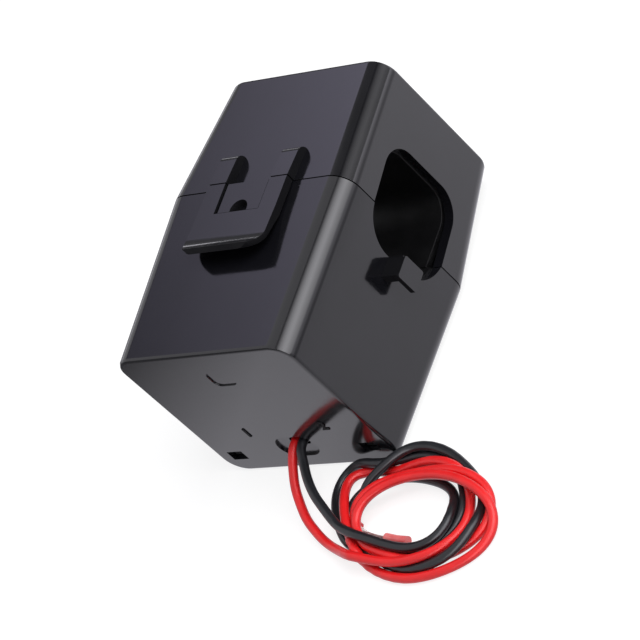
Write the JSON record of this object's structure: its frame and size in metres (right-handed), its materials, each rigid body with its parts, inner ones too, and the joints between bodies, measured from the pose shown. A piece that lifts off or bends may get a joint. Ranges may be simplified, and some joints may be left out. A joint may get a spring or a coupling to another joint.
{
  "type": "split-core current transformer",
  "caption": "Hinged split-core current transformer whose latched plastic housing clamps round a cable, with cable-tie hooks and coiled flying leads.",
  "frame": {"origin": "bottom centre of the housing's box without its leads, on the surface its back rests on", "axes": "+X along the cable through the window, +Y along the housing from the lead end to the lid's end, +Z from the hinged back up to the latch"},
  "size_m": [0.0585, 0.0716, 0.0343],
  "materials": {
    "housing_plastic": "black moulded nylon, smooth and glossy",
    "liner_plastic": "black moulded nylon, satin",
    "core_steel": "ground laminated core steel",
    "bobbin_nylon": "natural moulded nylon",
    "winding_copper": "enamelled copper wire",
    "winding_tape": "yellow polyester tape",
    "board_laminate": "glass-epoxy laminate",
    "pin_brass": "tinned brass",
    "red_insulation": "red PVC insulation, glossy",
    "black_insulation": "black PVC insulation, glossy",
    "potting_resin": "grey potting resin",
    "spring_steel": "bright spring steel",
    "coil_insulation": "red and black PVC insulation"
  },
  "bodies": {
    "base": {"base_housing": "housing_plastic", "base_liner": "liner_plastic", "core_leg_back": "core_steel", "core_leg_front": "core_steel", "base_yoke": "core_steel", "bobbin": "bobbin_nylon", "winding": "winding_copper", "winding_tape": "winding_tape", "terminal_board": "board_laminate", "terminal_pin_1": "pin_brass", "terminal_pin_2": "pin_brass", "red_lead_inner": "red_insulation", "black_lead_inner": "black_insulation", "exit_seal": "potting_resin", "hinge_pin": "spring_steel", "red_lead": "red_insulation", "black_lead": "black_insulation", "lead_coil": "coil_insulation"},
    "lid": {"lid_housing": "housing_plastic", "lid_liner": "liner_plastic", "lid_core": "core_steel", "core_spring": "spring_steel"},
    "latch_clip": {"latch": "housing_plastic"}
  },
  "joints": [
    {"name": "lid_hinge", "type": "hinge", "parent": "base", "child": "lid", "pos_m": [0, 0.0035, 0.0011], "axis": [-1, 0, 0], "range_deg": [0, 95], "deforming": ["latch"]},
    {"name": "latch_flex", "type": "hinge", "parent": "lid", "child": "latch_clip", "pos_m": [0, 0.0035, 0.03276], "axis": [-1, 0, 0], "range_deg": [0, 35], "stiffness_Nm_per_rad": 0.05}
  ]
}
